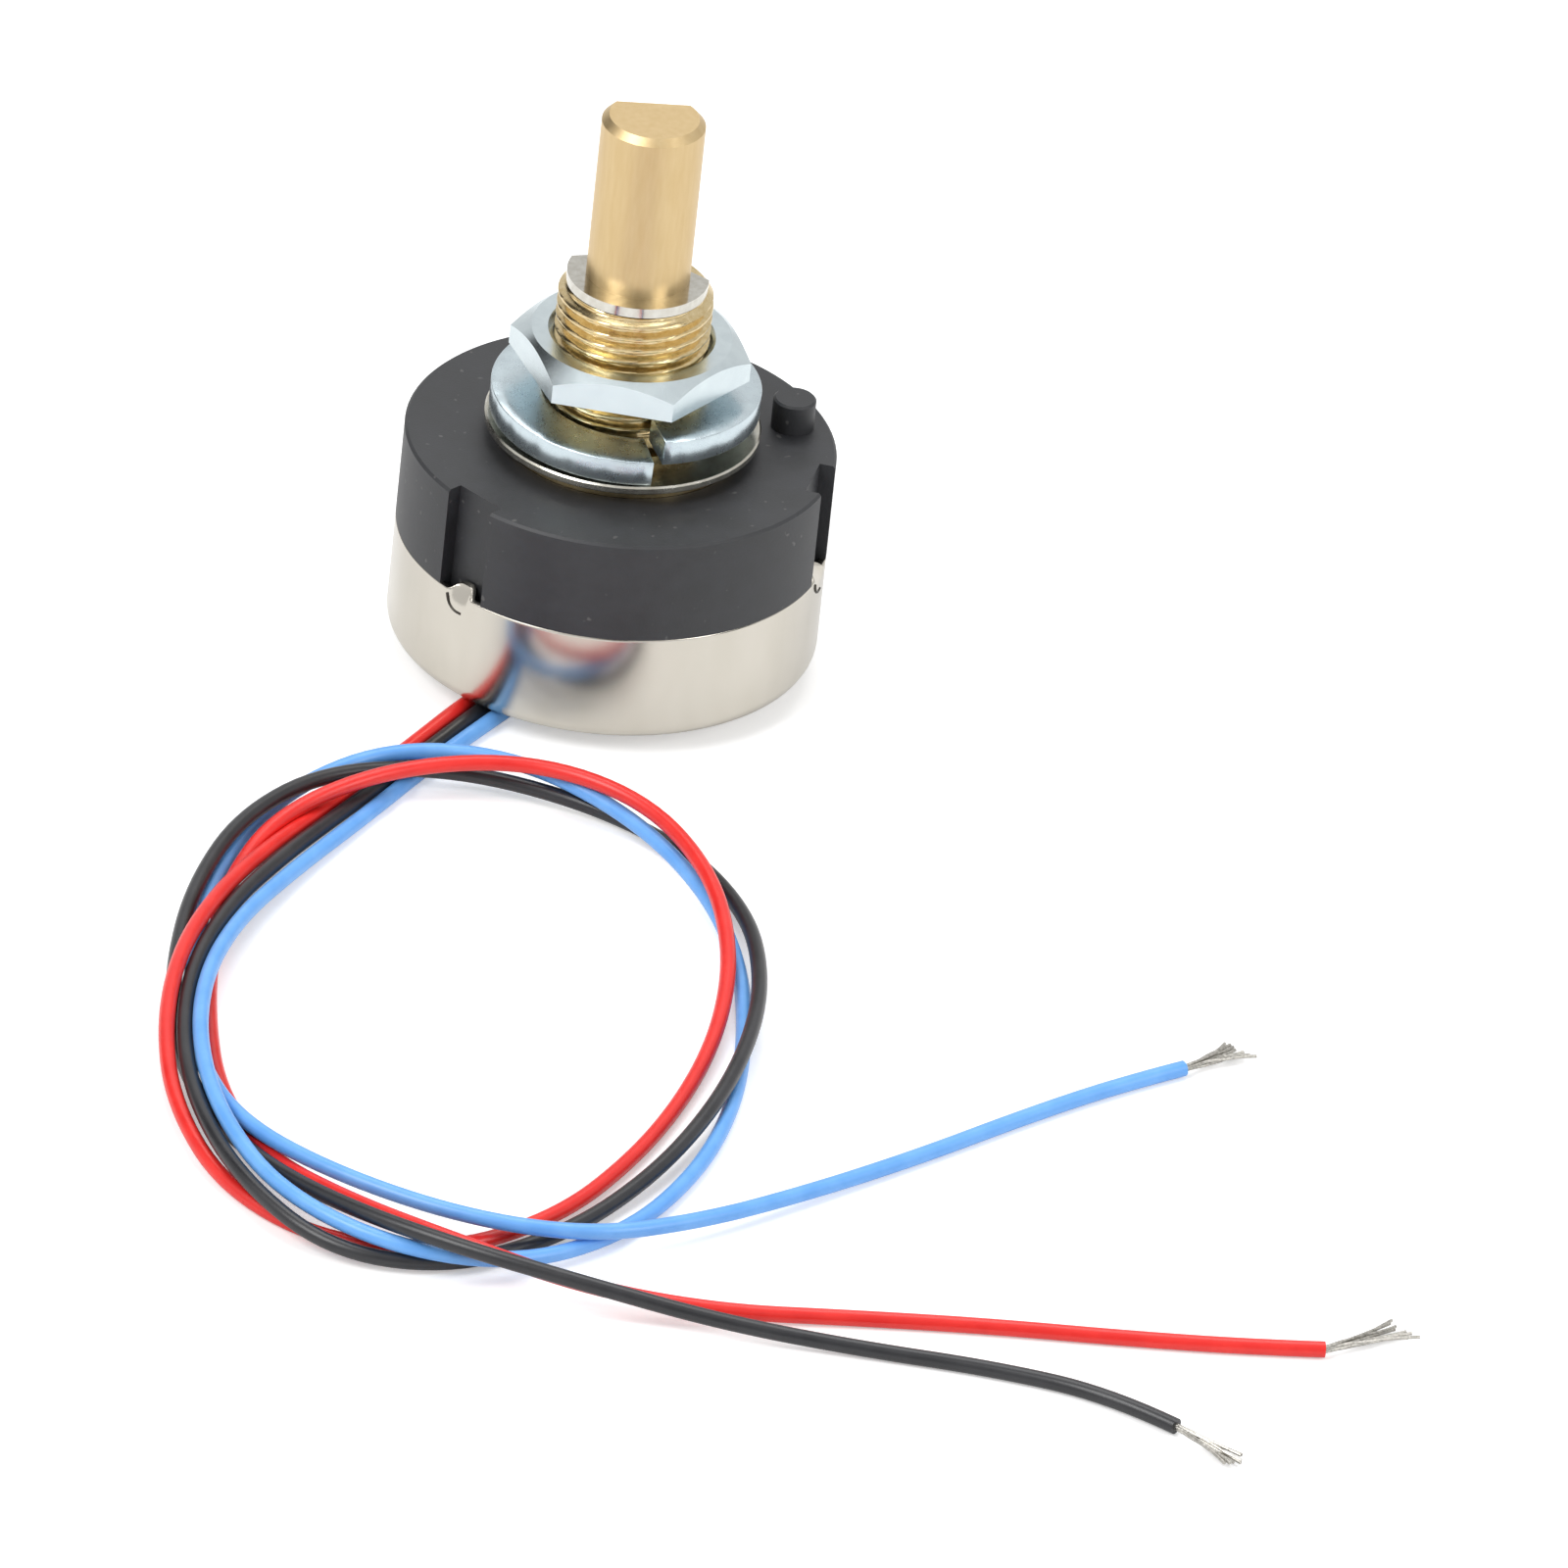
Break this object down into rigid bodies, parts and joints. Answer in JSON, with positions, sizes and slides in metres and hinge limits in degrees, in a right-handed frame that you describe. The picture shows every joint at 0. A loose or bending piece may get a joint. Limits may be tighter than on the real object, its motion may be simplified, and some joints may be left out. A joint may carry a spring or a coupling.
{
  "type": "hall effect angle sensor",
  "caption": "Bush-mounted rotary position sensor: a turning shaft carries a magnet over a hall chip in a round housing with a metal can and flying leads.",
  "frame": {"origin": "centre of the wire gland's lower face, on the surface that the sensor stands on", "axes": "+Z along the shaft towards its free end, +Y away from the side that the leads leave on"},
  "size_m": [0.0717, 0.0941, 0.0354],
  "materials": {
    "shaft_brass": "satin turned brass with lengthwise streaks",
    "clip_steel": "bright spring steel",
    "bushing_brass": "bright turned brass with a cut thread",
    "zinc_nut": "bluish bright zinc plate",
    "zinc_washer": "bluish zinc plate, a little rough",
    "nickel_washer": "dull nickel plate",
    "black_housing": "fine-grained matte moulded plastic",
    "nickel_can": "drawn nickel-plated steel, satin",
    "black_gland": "matte moulded rubber",
    "white_nylon": "natural nylon",
    "carrier_plastic": "moulded plastic",
    "magnet_nickel": "nickel-plated magnet",
    "green_board": "solder mask",
    "chip_epoxy": "moulded epoxy",
    "leg_tin": "tinned legs",
    "capacitor_body": "fired ceramic",
    "red_insulation": "smooth wire insulation",
    "black_insulation": "smooth wire insulation",
    "blue_insulation": "smooth wire insulation",
    "tinned_copper": "bare tinned strands",
    "solder": "solder"
  },
  "bodies": {
    "sensor_body": {"circuit_board": "green_board", "filter_resistor": "chip_epoxy", "flat_washer": "nickel_washer", "hall_chip": "chip_epoxy", "hall_chip_leg_1": "leg_tin", "hall_chip_leg_2": "leg_tin", "hall_chip_leg_3": "leg_tin", "hall_chip_leg_4": "leg_tin", "hall_chip_leg_5": "leg_tin", "hall_chip_leg_6": "leg_tin", "hall_chip_leg_7": "leg_tin", "hall_chip_leg_8": "leg_tin", "housing": "black_housing", "inner_lead_black": "black_insulation", "inner_lead_blue": "blue_insulation", "inner_lead_red": "red_insulation", "lock_washer": "zinc_washer", "output_capacitor": "capacitor_body", "rear_can": "nickel_can", "solder_joint_black": "solder", "solder_joint_blue": "solder", "solder_joint_red": "solder", "spacer_ring": "white_nylon", "strands_black": "tinned_copper", "strands_blue": "tinned_copper", "strands_red": "tinned_copper", "supply_capacitor": "capacitor_body", "threaded_bushing": "bushing_brass", "wire_black": "black_insulation", "wire_blue": "blue_insulation", "wire_gland": "black_gland", "wire_red": "red_insulation"},
    "rotor": {"shaft": "shaft_brass", "shaft_clip": "clip_steel", "thrust_washer": "white_nylon", "magnet_carrier": "carrier_plastic", "magnet": "magnet_nickel"},
    "lock_nut": {"hex_nut": "zinc_nut"}
  },
  "joints": [
    {"name": "shaft_spin", "type": "hinge", "parent": "sensor_body", "child": "rotor", "pos_m": [0, 0, 0.02], "axis": [0, 0, 1], "continuous": true},
    {"name": "nut_travel", "type": "slide", "parent": "sensor_body", "child": "lock_nut", "axis": [0, 0, 1], "range_m": [-0.0007, 0.0052]}
  ]
}
